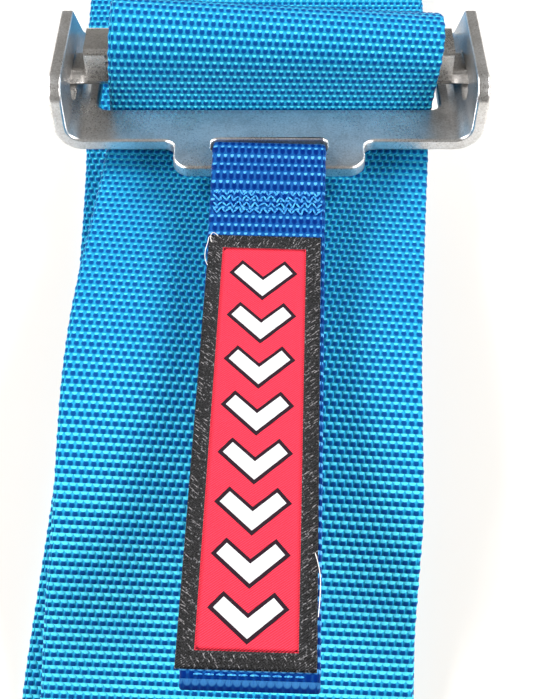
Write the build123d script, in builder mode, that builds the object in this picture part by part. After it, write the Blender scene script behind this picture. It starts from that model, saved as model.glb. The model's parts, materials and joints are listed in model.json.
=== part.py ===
"""One adjustable belt of a racing harness, laid out on a flat surface.

X runs across the belt, Y along it towards the latch, Z up. The origin is on the
surface that the belt lies on, under the middle of its bounding box. Millimetres.

The long web comes from the anchor bracket, folds back under itself, runs under the
adjuster, up round its sliding bar, down through the slot and out again as the tail.
The short web joins the adjuster's far bar to the latch tongue.
"""

import os
from math import cos, radians, sin

from build123d import *

# ---- webbing ----
web_width = 76.2
web_thickness = 1.6
web_gap = 0.3
long_web_x = 1.94  # middle of the long web where it passes the adjuster
near_yaw = 3.6  # the tail and the run below it drift to -X towards the near end
under_yaw = 1.6
under_web_x = -6.23
short_web_x = 3.5

# ---- adjuster frame ----
steel = 3.0
frame_x = 1.6
frame_width = 98.4
frame_tilt = 20.0  # the near edge of the frame stands higher than the far one
bend_radius = 6.5
slot_y = 5.45  # the window's near edge, where the tail goes down
slot_z = 18.97
plate_near = 11.4  # depth of the plate strip on the near side of the window
flange_height = 15.0
flange_top_far = 18.1
flange_foot_far = 29.07
flange_near_corner = 5.0
flange_far_corner = 8.5
window_width = 81.0
window_depth = 25.07
window_near_corner = 2.5
window_far_corner = 1.2  # the short web's edge passes close to it
far_bar_depth = 6.4
ear_width = 43.6
ear_reach = 20.8  # from the window's near edge to the ears' near edge
tab_slot_width = 26.6
tab_slot_far = 10.9
tab_slot_near = 15.5
tab_slot_corner = 1.6
ear_tip_radius = 4.0
ear_root_radius = 2.6

# ---- sliding friction bar ----
bar_length = 86.0
bar_near = 4.87
bar_depth = 10.2
bar_foot = 1.7
bar_height = 11.0
tenon_depth = 8.0
tenon_height = 4.4
tenon_foot = 2.1
tenon_reach = 50.0
tenon_slot_near = 0.47
groove_count = 4
groove_depth = 0.5
groove_pitch = 1.7
bar_chamfer = 2.6  # on the near foot, where the web turns
bar_corner = 1.4
tenon_corner = 1.2

# ---- pull tab ----
tab_width = 25.4
tab_thickness = 1.5
tab_rise = 7.0  # angle above level at which the tab stands
tab_length = 116.6  # from the middle of its loop to its end
tab_yaw = 1.8
tab_loop_inner = 3.4
tab_neck = 9.0  # where the loop's two plies meet
tab_lift = 1.6  # the tab's middle runs this far above the middle of its loop
label_width = 25.0
label_start = 21.4
label_length = 92.0
label_thickness = 0.6
border = 3.3
field_thickness = 0.25
motif_thickness = 0.2
chevron_count = 8
chevron_pitch = 10.2
chevron_width = 12.5
chevron_arm = 2.8
chevron_rise = 4.6
bartack_width = 5.4
stitch_thickness = 0.3
thread = 1.2  # width of one line of stitches
tab_end_seam = 2.4
seam_width = 60.0
short_seam_length = 20.0
anchor_seam_length = 14.0

# ---- short web and latch tongue ----
loop_inner = 3.8
short_web_length = 54.0  # from the frame's far bar to the tongue's bar
tongue_plate = 3.2
tongue_width = 95.0
tongue_bar = 6.6
tongue_slot = 7.4
tongue_slot_width = 79.5
tongue_shoulder = 20.0  # from the web bar to where the sides start to taper
tongue_nose_width = 46.0
tongue_nose = 34.0  # from the web bar to where the nose becomes parallel
tongue_reach = 68.0
tongue_tilt = 3.0
aperture_reach = 50.0
aperture_width = 26.0
aperture_length = 13.0
tongue_corner = 5.0
opening_corner = 2.5
web_bar_rounding = 0.8

# ---- anchor bracket ----
bracket_bar_y = 189.26
bracket_width = 93.0
bracket_shoulder = 19.0
bracket_tilt = 3.9
bolt_hole_radius = 5.6
bolt_boss_radius = 16.0
bolt_reach = 38.0
bracket_corner = 6.0
anchor_return = 32.0  # sewn-back length of the long web at the bracket

# ---- near end ----
fold_radius = 3.8
fold_y = -236.74
tail_end_y = -193.74
hem_length = 22.0
hem_seam_pitch = 14.0
hem_seam_width = 71.6

level = web_thickness + web_gap
under_middle = web_thickness / 2
load_middle = under_middle + level
half_web = web_thickness / 2
slope_sin = sin(radians(frame_tilt))
slope_cos = cos(radians(frame_tilt))

plate_plane = Plane(
    origin=(frame_x, slot_y, slot_z), x_dir=(1, 0, 0), z_dir=(0, slope_sin, slope_cos)
)
side_plane = Plane(
    origin=(frame_x, slot_y, slot_z), x_dir=(0, slope_cos, -slope_sin), z_dir=(1, 0, 0)
)


def in_yz(away, up):
    """Y and Z of a point given along the frame's plate and above its top face."""
    y = slot_y + away * slope_cos + up * slope_sin
    z = slot_z - away * slope_sin + up * slope_cos
    return y, z


def strap_plane(x, y, yaw):
    """An upright plane along a strap: its X is the strap's run, its Y is up."""
    turn = radians(yaw)
    return Plane(
        origin=(x, y, 0), x_dir=(sin(turn), cos(turn), 0), z_dir=(cos(turn), -sin(turn), 0)
    )


def sweep_strap(plane, points, bends, width, thickness):
    """A flat strap in the current part, its middle on a polyline with round bends."""
    with BuildLine(plane) as run:
        FilletPolyline(*points, radius=bends)
    start = Plane(origin=run.line @ 0, x_dir=plane.z_dir, z_dir=run.line % 0)
    with BuildSketch(start) as section:
        Rectangle(width, thickness)
    sweep(sections=section.sketch, path=run.line)


def hanging_plane(x, y, z, tilt, yaw):
    """A plane on a plate that hangs in a web loop and slopes down to its nose."""
    lean = radians(tilt)
    turn = radians(yaw)
    normal = (sin(turn) * sin(lean), cos(turn) * sin(lean), cos(lean))
    return Plane(origin=(x, y, z), x_dir=(cos(turn), -sin(turn), 0), z_dir=normal)


def sewn_loop(plane, ring, tail, plies, inner):
    """A strap's end seen from the side: a loop round a bar, drawn in to a sewn stretch.

    ring is the bar's middle, and tail is the middle of the sewn stretch's near end.
    """
    reach = (tail[0] - ring[0]) / abs(tail[0] - ring[0])
    neck = ring[0] + reach * 2.6 * inner
    with BuildSketch(plane) as hole:
        with Locations(ring):
            Circle(inner)
        with Locations((neck - reach * 1.5, tail[1])):
            Rectangle(0.3, 0.3)
        make_hull()
    with BuildSketch(plane) as outline:
        with Locations(ring):
            Circle(inner + plies / 2)
        with Locations((neck, tail[1])):
            Rectangle(1.0, plies)
        make_hull()
        with Locations(((neck + tail[0]) / 2, tail[1])):
            Rectangle(abs(tail[0] - neck), plies)
        add(hole.sketch_local, mode=Mode.SUBTRACT)
    return outline.sketch


def sew(plane, length, width, seam):
    """Flat seam lines on a web's face: a box with a W inside, raised by one thread."""
    with BuildSketch(plane) as lines:
        Rectangle(length, width)
        Rectangle(length - 2 * seam, width - 2 * seam, mode=Mode.SUBTRACT)
        with BuildLine():
            Polyline(
                (-length / 2, width / 2),
                (length / 2, width / 4),
                (-length / 2, 0),
                (length / 2, -width / 4),
                (-length / 2, -width / 2),
            )
        trace(line_width=seam)
        Rectangle(length, width, mode=Mode.INTERSECT)
    return lines.sketch


def save(piece, name):
    piece.label = name
    export_step(piece, f"parts/{name}.step")
    box = piece.bounding_box()
    extents.append((box.min, box.max))


extents = []
os.makedirs("parts", exist_ok=True)

# ======================= adjuster frame =======================
frame_far = window_depth + far_bar_depth
inner_width = frame_width - 2 * steel
channel_plane = Plane(
    origin=side_plane.from_local_coords((frame_far, 0, 0)),
    x_dir=(1, 0, 0),
    z_dir=(0, -slope_cos, slope_sin),
)

with BuildPart() as adjuster_frame:
    # the bent sheet: a plate with a flange at each side
    with BuildSketch(channel_plane):
        with Locations((0, (flange_height - steel) / 2)):
            Rectangle(frame_width, flange_height + steel)
        with Locations((0, flange_height / 2)):
            Rectangle(inner_width, flange_height, mode=Mode.SUBTRACT)
    extrude(amount=frame_far + plate_near)
    bends = adjuster_frame.edges().filter_by(
        lambda e: abs((e % 0.5).Y) > 0.9 and plate_plane.to_local_coords(e @ 0.5).Z < 0.1
    )
    outer = bends.filter_by(lambda e: abs(plate_plane.to_local_coords(e @ 0.5).Z + steel) < 0.01)
    inner = bends.filter_by(lambda e: abs(plate_plane.to_local_coords(e @ 0.5).Z) < 0.01)
    fillet(outer, bend_radius)
    fillet(inner, bend_radius - steel)
    # outline of the flanges, seen from the side
    with BuildSketch(side_plane) as flange_outline:
        with BuildLine():
            Polyline(
                (-plate_near, -steel - 1),
                (-plate_near, flange_height),
                (flange_top_far, flange_height),
                (flange_foot_far, 0.6),
                (frame_far, -0.6),
                (frame_far, -steel - 1),
                close=True,
            )
        make_face()
        top_corners = flange_outline.vertices().group_by(Axis.Y)[-1].sort_by(Axis.X)
        fillet(top_corners[0], flange_near_corner)
        fillet(top_corners[-1], flange_far_corner)
    extrude(amount=frame_width, both=True, mode=Mode.INTERSECT)
    # ears that carry the pull tab
    with BuildSketch(plate_plane):
        with Locations((0, -(ear_reach + plate_near) / 2)):
            Rectangle(ear_width, ear_reach - plate_near)
    extrude(amount=-steel)
    uprights = adjuster_frame.edges().filter_by(Axis(plate_plane.origin, plate_plane.z_dir))
    ear_tips = uprights.filter_by(
        lambda e: abs(plate_plane.to_local_coords(e @ 0.5).Y + ear_reach) < 0.01
    )
    ear_roots = uprights.filter_by(
        lambda e: abs(plate_plane.to_local_coords(e @ 0.5).Y + plate_near) < 0.01
        and abs(abs(plate_plane.to_local_coords(e @ 0.5).X) - ear_width / 2) < 0.01
    )
    fillet(ear_tips, ear_tip_radius)
    fillet(ear_roots, ear_root_radius)
    # window for the webs, and the slot for the tab
    with BuildSketch(plate_plane) as openings:
        with Locations((0, window_depth / 2)):
            Rectangle(window_width, window_depth)
        window_corners = openings.vertices().group_by(Axis.Y)
        fillet(window_corners[0], window_near_corner)
        fillet(window_corners[-1], window_far_corner)
        with Locations((0, -(tab_slot_far + tab_slot_near) / 2)):
            RectangleRounded(tab_slot_width, tab_slot_near - tab_slot_far, tab_slot_corner)
    extrude(amount=-steel, mode=Mode.SUBTRACT)
    # slots that guide the bar's tenons
    slot_far = bar_near + (bar_depth + tenon_depth) / 2 + web_gap
    with BuildSketch(side_plane):
        with Locations(((tenon_slot_near + slot_far) / 2, tenon_foot + tenon_height / 2)):
            RectangleRounded(slot_far - tenon_slot_near, tenon_height + 2 * web_gap, bar_corner)
    extrude(amount=frame_width, both=True, mode=Mode.SUBTRACT)

save(adjuster_frame.part, "adjuster_frame")

# ======================= sliding friction bar =======================
bar_far = bar_near + bar_depth
bar_middle = (bar_near + bar_far) / 2

with BuildPart() as friction_bar:
    with BuildSketch(side_plane) as bar_section:
        with Locations((bar_middle, bar_foot + bar_height / 2)):
            Rectangle(bar_depth, bar_height)
        corners = bar_section.vertices().sort_by_distance((bar_near, bar_foot))
        chamfer(corners[0], bar_chamfer)
        fillet(corners[1:], bar_corner)
    extrude(amount=bar_length / 2, both=True)
    # shallow grip grooves across the near face, under the web
    with BuildSketch(side_plane):
        with Locations((bar_near, bar_foot + bar_height * 0.62)):
            with GridLocations(1, groove_pitch, 1, groove_count):
                RegularPolygon(groove_depth, 4)
    extrude(amount=web_width / 2, both=True, mode=Mode.SUBTRACT)
    # flat tenons that ride in the flange slots
    with BuildSketch(side_plane):
        with Locations((bar_middle, tenon_foot + tenon_height / 2)):
            RectangleRounded(tenon_depth, tenon_height, tenon_corner)
    extrude(amount=tenon_reach, both=True)

save(friction_bar.part, "friction_bar")

# ======================= the long web =======================
near_plane = strap_plane(long_web_x, slot_y, near_yaw)
bar_plane = Plane(
    origin=side_plane.from_local_coords((0, 0, long_web_x - frame_x)),
    x_dir=side_plane.x_dir,
    z_dir=side_plane.z_dir,
)
under_ply = -(steel + web_gap + half_web)
slot_ply = web_gap + half_web
far_ply = bar_far + web_gap + half_web + 0.1

with BuildPart() as bar_wrap_web:
    # from under the plate up the slot, loosely over the bar and down the window
    wrap_points = [
        (-2.8, under_ply),
        (slot_ply, under_ply),
        (slot_ply, 13.5),
        (5.6, 19.8),
        (13.1, 20.2),
        (far_ply, 14.0),
        (far_ply, under_ply + 0.6),
    ]
    sweep_strap(bar_plane, wrap_points, [1.6, 5.0, 4.0, 4.0, 5.0], web_width, web_thickness)

save(bar_wrap_web.part, "bar_wrap_web")

fold_top = under_middle + 2 * fold_radius

tail_rest = load_middle + level
tail_end = tail_end_y - slot_y

with BuildPart() as tail_web:
    # out from under the plate, over a hump, down on to the run below it
    start_y, start_z = in_yz(-7.6, under_ply - 1.2)
    tail_points = [
        (start_y - slot_y, start_z),
        (-16.0, 16.5),
        (-38.0, 19.0),
        (-73.0, 26.2),
        (-95.0, 23.0),
        (-125.0, 11.2),
        (-152.0, tail_rest),
        (tail_end, tail_rest),
    ]
    tail_bends = [12.0, 60.0, 30.0, 50.0, 60.0, 60.0]
    sweep_strap(near_plane, tail_points, tail_bends, web_width, web_thickness)

save(tail_web.part, "tail_web")

# the tail's end is turned over and sewn down
hem_middle = tail_end + hem_length / 2
with BuildPart() as tail_hem:
    with BuildSketch(near_plane):
        with Locations((hem_middle, tail_rest + web_thickness)):
            Rectangle(hem_length, web_thickness)
    extrude(amount=web_width / 2, both=True)

save(tail_hem.part, "tail_hem")

with BuildPart() as load_web:
    # down from the window, flat along the surface, then up into the near fold
    load_points = [
        (13.5, 7.6),
        (4.0, load_middle),
        (-204.0, load_middle),
        (fold_y - slot_y + 8.0, fold_top),
        (fold_y - slot_y - fold_radius, fold_top),
        (fold_y - slot_y - fold_radius, under_middle),
        (fold_y - slot_y + 3.0, under_middle),
    ]
    fold_bend = fold_radius - 0.02
    sweep_strap(
        near_plane, load_points, [9.0, 30.0, 10.0, fold_bend, fold_bend], web_width, web_thickness
    )

save(load_web.part, "load_web")

# the lowest run lies on the surface and ends in the anchor bracket's loop
under_plane = strap_plane(under_web_x, slot_y, under_yaw)
ring_outer = loop_inner + web_thickness
bracket_run = bracket_bar_y - slot_y
under_near = fold_y - slot_y + 6.5

with BuildPart() as under_web:
    extrude(
        sewn_loop(
            under_plane,
            (bracket_run, ring_outer),
            (bracket_run - anchor_return, web_thickness),
            2 * web_thickness,
            loop_inner,
        ),
        amount=web_width / 2,
        both=True,
    )
    with BuildSketch(under_plane):
        with Locations(((under_near + bracket_run - anchor_return) / 2, under_middle)):
            Rectangle(bracket_run - anchor_return - under_near, web_thickness)
    extrude(amount=web_width / 2, both=True)

save(under_web.part, "under_web")

# ======================= the short web =======================
far_bar_y, far_bar_z = in_yz(window_depth + far_bar_depth / 2, -steel / 2)
tongue_bar_y = far_bar_y + short_web_length
tongue_bar_z = web_thickness + web_gap + ring_outer
short_middle = web_thickness + web_gap + web_thickness
short_plane = strap_plane(short_web_x, 0, 0)
short_join = (far_bar_y + tongue_bar_y) / 2

with BuildPart() as short_web:
    for ring in ((far_bar_y, far_bar_z), (tongue_bar_y, tongue_bar_z)):
        extrude(
            sewn_loop(short_plane, ring, (short_join, short_middle), 2 * web_thickness, loop_inner),
            amount=web_width / 2,
            both=True,
        )

save(short_web.part, "short_web")

# ======================= latch tongue =======================
bar_half = tongue_bar / 2
tongue_plane = hanging_plane(short_web_x, tongue_bar_y, tongue_bar_z, tongue_tilt, 0)

with BuildPart() as latch_tongue:
    with BuildSketch(tongue_plane) as tongue_outline:
        with BuildLine():
            Polyline(
                (-tongue_width / 2, -bar_half),
                (-tongue_width / 2, tongue_shoulder),
                (-tongue_nose_width / 2, tongue_nose),
                (-tongue_nose_width / 2, tongue_reach),
                (tongue_nose_width / 2, tongue_reach),
                (tongue_nose_width / 2, tongue_nose),
                (tongue_width / 2, tongue_shoulder),
                (tongue_width / 2, -bar_half),
                close=True,
            )
        make_face()
        fillet(tongue_outline.vertices(), tongue_corner)
        with Locations((0, bar_half + tongue_slot / 2)):
            RectangleRounded(tongue_slot_width, tongue_slot, opening_corner, mode=Mode.SUBTRACT)
        with Locations((0, aperture_reach)):
            RectangleRounded(aperture_width, aperture_length, opening_corner, mode=Mode.SUBTRACT)
    extrude(amount=tongue_plate / 2, both=True)
    web_bar_edge = latch_tongue.faces().group_by(Axis.Z)[-1].edges().group_by(Axis.Y)[0]
    fillet(web_bar_edge, web_bar_rounding)

save(latch_tongue.part, "latch_tongue")

# ======================= anchor bracket =======================
bracket_ring = under_plane.from_local_coords((bracket_run, ring_outer, 0))
bracket_plane = hanging_plane(
    bracket_ring.X, bracket_ring.Y, bracket_ring.Z, bracket_tilt, under_yaw
)

with BuildPart() as anchor_bracket:
    with BuildSketch(bracket_plane):
        with Locations((0, (bracket_shoulder - bar_half) / 2)):
            RectangleRounded(bracket_width, bracket_shoulder + bar_half, bracket_corner)
    extrude(amount=tongue_plate / 2, both=True)
    # the sides draw in to a round boss
    with BuildSketch(bracket_plane):
        with Locations((0, bolt_reach)):
            Circle(bolt_boss_radius)
        with Locations((0, bracket_shoulder - 4)):
            Rectangle(bracket_width * 0.78, 4)
        make_hull()
    extrude(amount=tongue_plate / 2, both=True)
    with BuildSketch(bracket_plane):
        with Locations((0, bar_half + tongue_slot / 2)):
            RectangleRounded(tongue_slot_width, tongue_slot, opening_corner)
        with Locations((0, bolt_reach)):
            Circle(bolt_hole_radius)
    extrude(amount=tongue_plate, both=True, mode=Mode.SUBTRACT)

save(anchor_bracket.part, "anchor_bracket")

# ======================= pull tab =======================
tab_bar_y, tab_bar_z = in_yz(-(tab_slot_near + ear_reach) / 2, -steel / 2)
rise = radians(tab_rise)
swing = radians(tab_yaw)
tab_loop_plane = Plane(
    origin=(frame_x, tab_bar_y, tab_bar_z), x_dir=(0, -cos(rise), sin(rise)), z_dir=(-1, 0, 0)
)
tab_run = Vector(-sin(swing) * cos(rise), -cos(swing) * cos(rise), sin(rise))
tab_up = Vector(0, sin(rise), cos(rise))


def tab_face(height, run):
    """A plane on the tab: X along it, Z up, from the loop's middle by run and height."""
    place = Vector(frame_x, tab_bar_y, tab_bar_z) + tab_up * height + tab_run * run
    return Plane(origin=place, x_dir=tab_run, z_dir=tab_up)


tab_top = tab_lift + tab_thickness
label_middle = label_start + label_length / 2

with BuildPart() as pull_tab:
    extrude(
        sewn_loop(
            tab_loop_plane,
            (0, 0),
            (tab_neck + 3, tab_lift),
            2 * tab_thickness,
            tab_loop_inner,
        ),
        amount=tab_width / 2,
        both=True,
    )
    with BuildSketch(tab_face(tab_lift, 0)):
        with Locations(((tab_neck + tab_length) / 2, 0)):
            Rectangle(tab_length - tab_neck, tab_width)
    extrude(amount=tab_thickness, both=True)

save(pull_tab.part, "pull_tab")

with BuildPart() as tab_bartack:
    with BuildSketch(tab_face(tab_top, tab_neck + 0.6 + bartack_width / 2)):
        Rectangle(bartack_width, tab_width * 0.84)
    extrude(amount=stitch_thickness)

save(tab_bartack.part, "tab_bartack")

with BuildPart() as label_backing:
    with BuildSketch(tab_face(tab_top, label_middle)):
        Rectangle(label_length, label_width)
    extrude(amount=label_thickness)

save(label_backing.part, "label_backing")

label_top = tab_top + label_thickness
with BuildPart() as label_field:
    with BuildSketch(tab_face(label_top, label_middle)):
        Rectangle(label_length - 2 * border, label_width - 2 * border)
    extrude(amount=field_thickness)

save(label_field.part, "label_field")


def chevron(width, rise, arm):
    """The corners of one chevron that points along X."""
    half = width / 2
    return [
        (rise, 0),
        (0, half),
        (-arm, half),
        (rise - arm, 0),
        (-arm, -half),
        (0, -half),
    ]


with BuildPart() as label_chevrons:
    with BuildSketch(tab_face(label_top + field_thickness, label_middle)):
        with GridLocations(chevron_pitch, 1, chevron_count, 1):
            Polygon(*chevron(chevron_width, chevron_rise, chevron_arm))
    extrude(amount=motif_thickness)

save(label_chevrons.part, "label_chevrons")

with BuildPart() as label_stitching:
    with BuildSketch(tab_face(label_top, label_middle)):
        Rectangle(label_length - border * 0.6, label_width - border * 0.6)
        Rectangle(label_length - border * 1.3, label_width - border * 1.3, mode=Mode.SUBTRACT)
    extrude(amount=stitch_thickness)

save(label_stitching.part, "label_stitching")

with BuildPart() as tab_end_stitching:
    with BuildSketch(tab_face(tab_top, tab_length - tab_end_seam)):
        Rectangle(thread, tab_width * 0.8)
    extrude(amount=stitch_thickness)

save(tab_end_stitching.part, "tab_end_stitching")

# ======================= seams =======================
short_seam_plane = Plane(
    origin=(short_web_x, short_join, short_middle + web_thickness), x_dir=(0, 1, 0)
)
with BuildPart() as short_web_stitching:
    extrude(sew(short_seam_plane, short_seam_length, seam_width, thread), amount=stitch_thickness)

save(short_web_stitching.part, "short_web_stitching")

anchor_seam_plane = Plane(
    origin=under_plane.from_local_coords(
        (bracket_run - anchor_return * 0.72, 2 * web_thickness, 0)
    ),
    x_dir=under_plane.x_dir,
)
with BuildPart() as anchor_stitching:
    extrude(sew(anchor_seam_plane, anchor_seam_length, seam_width, thread), amount=stitch_thickness)

save(anchor_stitching.part, "anchor_stitching")

hem_top = tail_rest + 1.5 * web_thickness
hem_plane = Plane(
    origin=near_plane.from_local_coords((hem_middle, hem_top, 0)), x_dir=near_plane.x_dir
)
with BuildPart() as tail_hem_stitching:
    with BuildSketch(hem_plane):
        with GridLocations(hem_seam_pitch, 1, 2, 1):
            Rectangle(thread, hem_seam_width)
    extrude(amount=stitch_thickness)

save(tail_hem_stitching.part, "tail_hem_stitching")

low = [min(tuple(box[0])[i] for box in extents) for i in range(3)]
high = [max(tuple(box[1])[i] for box in extents) for i in range(3)]
print("low", low, "high", high)
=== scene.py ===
"""Looks of one adjustable racing harness belt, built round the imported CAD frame.

Everything is laid out in millimetres and turned into metres when a mesh is made.
X runs across the belt, Y along it towards the latch, Z up from the surface it lies on.
"""

import json
import math
import random

import bpy
import numpy as np
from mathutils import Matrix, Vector


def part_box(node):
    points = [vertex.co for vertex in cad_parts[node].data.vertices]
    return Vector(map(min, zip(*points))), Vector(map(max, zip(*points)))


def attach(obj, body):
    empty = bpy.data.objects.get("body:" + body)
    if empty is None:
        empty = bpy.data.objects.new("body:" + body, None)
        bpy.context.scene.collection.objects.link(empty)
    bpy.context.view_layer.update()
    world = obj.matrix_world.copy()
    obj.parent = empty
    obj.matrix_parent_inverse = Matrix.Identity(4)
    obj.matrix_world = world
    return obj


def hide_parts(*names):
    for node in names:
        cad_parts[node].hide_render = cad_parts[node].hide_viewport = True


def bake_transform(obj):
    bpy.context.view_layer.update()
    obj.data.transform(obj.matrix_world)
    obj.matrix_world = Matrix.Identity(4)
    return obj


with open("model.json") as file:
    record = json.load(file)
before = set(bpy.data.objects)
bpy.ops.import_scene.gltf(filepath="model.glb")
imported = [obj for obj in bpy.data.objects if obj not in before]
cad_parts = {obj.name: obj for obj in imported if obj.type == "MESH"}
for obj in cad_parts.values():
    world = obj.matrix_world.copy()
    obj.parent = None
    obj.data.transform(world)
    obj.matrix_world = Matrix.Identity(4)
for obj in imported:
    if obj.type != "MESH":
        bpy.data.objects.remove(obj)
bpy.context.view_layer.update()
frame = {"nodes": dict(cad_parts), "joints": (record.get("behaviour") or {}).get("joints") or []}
MM = 0.001
rng = random.Random(7)

# ---- webbing ----
WEB_WIDTH = 76.2
WEB_THICK = 1.6
WEB_CELLS = 46  # bumps across one row of the wide web
WEB_PICK = 1.69  # distance between two rows of bumps
LAY_GAP = 0.3
LOOP_INNER = 3.8  # radius of the web's loops round the steel bars
PLY_GAP = 0.02  # between two plies that are sewn together
TAB_WIDTH = 25.4
TAB_THICK = 1.5
TAB_CELLS = 16
TAB_PICK = 2.2
BUMP = 0.14  # height of a woven bump in the mesh
COARSE = 3.4  # step along a web where nothing shows it
CURVE_STEP = 0.1  # step at which a curve is measured
SEAM_THREAD = 0.6
SEAM_WIDTH = 60.0  # of a sewn box

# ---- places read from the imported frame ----
FRAME_TILT = math.radians(20)
ALONG = Vector((0, math.cos(FRAME_TILT), -math.sin(FRAME_TILT)))
PLATE_UP = Vector((0, math.sin(FRAME_TILT), math.cos(FRAME_TILT)))
joints = {joint["name"]: joint for joint in frame["joints"]}


def joint_place(name):
    """Where a joint's axis lies, in millimetres."""
    return Vector(joints[name]["pos_m"]) / MM


def box_low(node):
    """The low corner of a node's box, in millimetres."""
    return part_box(node)[0] / MM


FAR_BAR = joint_place("frame_tilt")
TAB_RING = joint_place("tab_swing")
TONGUE_RING = joint_place("tongue_swing")
BRACKET_RING = joint_place("bracket_swing")
WINDOW_TO_BAR = 28.27  # from the window's near edge to the middle of the far bar
HALF_STEEL = 1.5
SLOT = FAR_BAR - WINDOW_TO_BAR * ALONG + HALF_STEEL * PLATE_UP  # the window's near edge, on the plate
SLOT.x = TAB_RING.x


def on_plate(x, along, up):
    """A point by its x, and by how far along and above the frame's plate it is."""
    place = SLOT + ALONG * along + PLATE_UP * up
    return Vector((x, place.y, place.z))


# ======================= shader nodes =======================
class Nodes:
    """Short calls for building one material's node tree."""

    def __init__(self, name):
        self.material = bpy.data.materials.new(name)
        self.material.use_nodes = True
        self.tree = self.material.node_tree
        self.shader = self.tree.nodes["Principled BSDF"]

    def put(self, socket, value):
        if isinstance(value, bpy.types.NodeSocket):
            self.tree.links.new(value, socket)
        else:
            socket.default_value = value

    def math(self, operation, a, b=0.0, c=0.0):
        node = self.tree.nodes.new("ShaderNodeMath")
        node.operation = operation
        for socket, value in zip(node.inputs, (a, b, c)):
            self.put(socket, value)
        return node.outputs[0]

    def remap(self, value, low, high, new_low=0.0, new_high=1.0):
        node = self.tree.nodes.new("ShaderNodeMapRange")
        node.interpolation_type = "SMOOTHSTEP"
        for socket, number in zip(node.inputs, (value, low, high, new_low, new_high)):
            self.put(socket, number)
        return node.outputs[0]

    def mix(self, factor, a, b):
        node = self.tree.nodes.new("ShaderNodeMix")
        node.data_type = "RGBA"
        self.put(node.inputs["Factor"], factor)
        self.put(node.inputs["A"], a)
        self.put(node.inputs["B"], b)
        return node.outputs["Result"]

    def uv(self):
        """U across and V along a woven piece, in millimetres."""
        node = self.tree.nodes.new("ShaderNodeUVMap")
        node.uv_map = "weave"
        split = self.tree.nodes.new("ShaderNodeSeparateXYZ")
        self.tree.links.new(node.outputs[0], split.inputs[0])
        return split.outputs["X"], split.outputs["Y"]

    def place(self):
        return self.tree.nodes.new("ShaderNodeTexCoord").outputs["Object"]

    def place_y(self):
        """How far along the belt a point lies, in metres."""
        split = self.tree.nodes.new("ShaderNodeSeparateXYZ")
        self.tree.links.new(self.place(), split.inputs[0])
        return split.outputs["Y"]

    def join(self, x, y):
        node = self.tree.nodes.new("ShaderNodeCombineXYZ")
        self.put(node.inputs["X"], x)
        self.put(node.inputs["Y"], y)
        return node.outputs[0]

    def noise(self, vector, scale, detail=2.0, rough=0.5):
        node = self.tree.nodes.new("ShaderNodeTexNoise")
        self.put(node.inputs["Vector"], vector)
        node.inputs["Scale"].default_value = scale
        node.inputs["Detail"].default_value = detail
        node.inputs["Roughness"].default_value = rough
        return node.outputs["Fac"]

    def bump(self, height, distance):
        node = self.tree.nodes.new("ShaderNodeBump")
        node.inputs["Strength"].default_value = 1.0
        node.inputs["Distance"].default_value = distance * MM
        self.put(node.inputs["Height"], height)
        self.tree.links.new(node.outputs[0], self.shader.inputs["Normal"])

    def set(self, **values):
        for name, value in values.items():
            self.put(self.shader.inputs[name.replace("_", " ")], value)


def woven_cells(n, u, v, cell, pick):
    """A plain weave's bumps: rows of rounded cells, each row shifted by half.

    Gives the place across and along one bump, both from -1 to 1, and its height.
    """
    row = n.math("FLOOR", n.math("DIVIDE", v, pick))
    shift = n.math("MULTIPLY", n.math("FLOORED_MODULO", row, 2.0), 0.5)
    across = n.math("FRACT", n.math("ADD", n.math("DIVIDE", u, cell), shift))
    along = n.math("FRACT", n.math("DIVIDE", v, pick))
    side = n.math("MULTIPLY", n.math("SUBTRACT", across, 0.5), 2.0)
    end = n.math("MULTIPLY", n.math("SUBTRACT", along, 0.5), 2.0)
    spread = n.math("MULTIPLY_ADD", n.math("MULTIPLY", side, side), 0.86, n.math("MULTIPLY", end, end))
    height = n.math("SQRT", n.math("MAXIMUM", n.math("SUBTRACT", 1.22, spread), 0.0))
    return side, end, height


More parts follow.
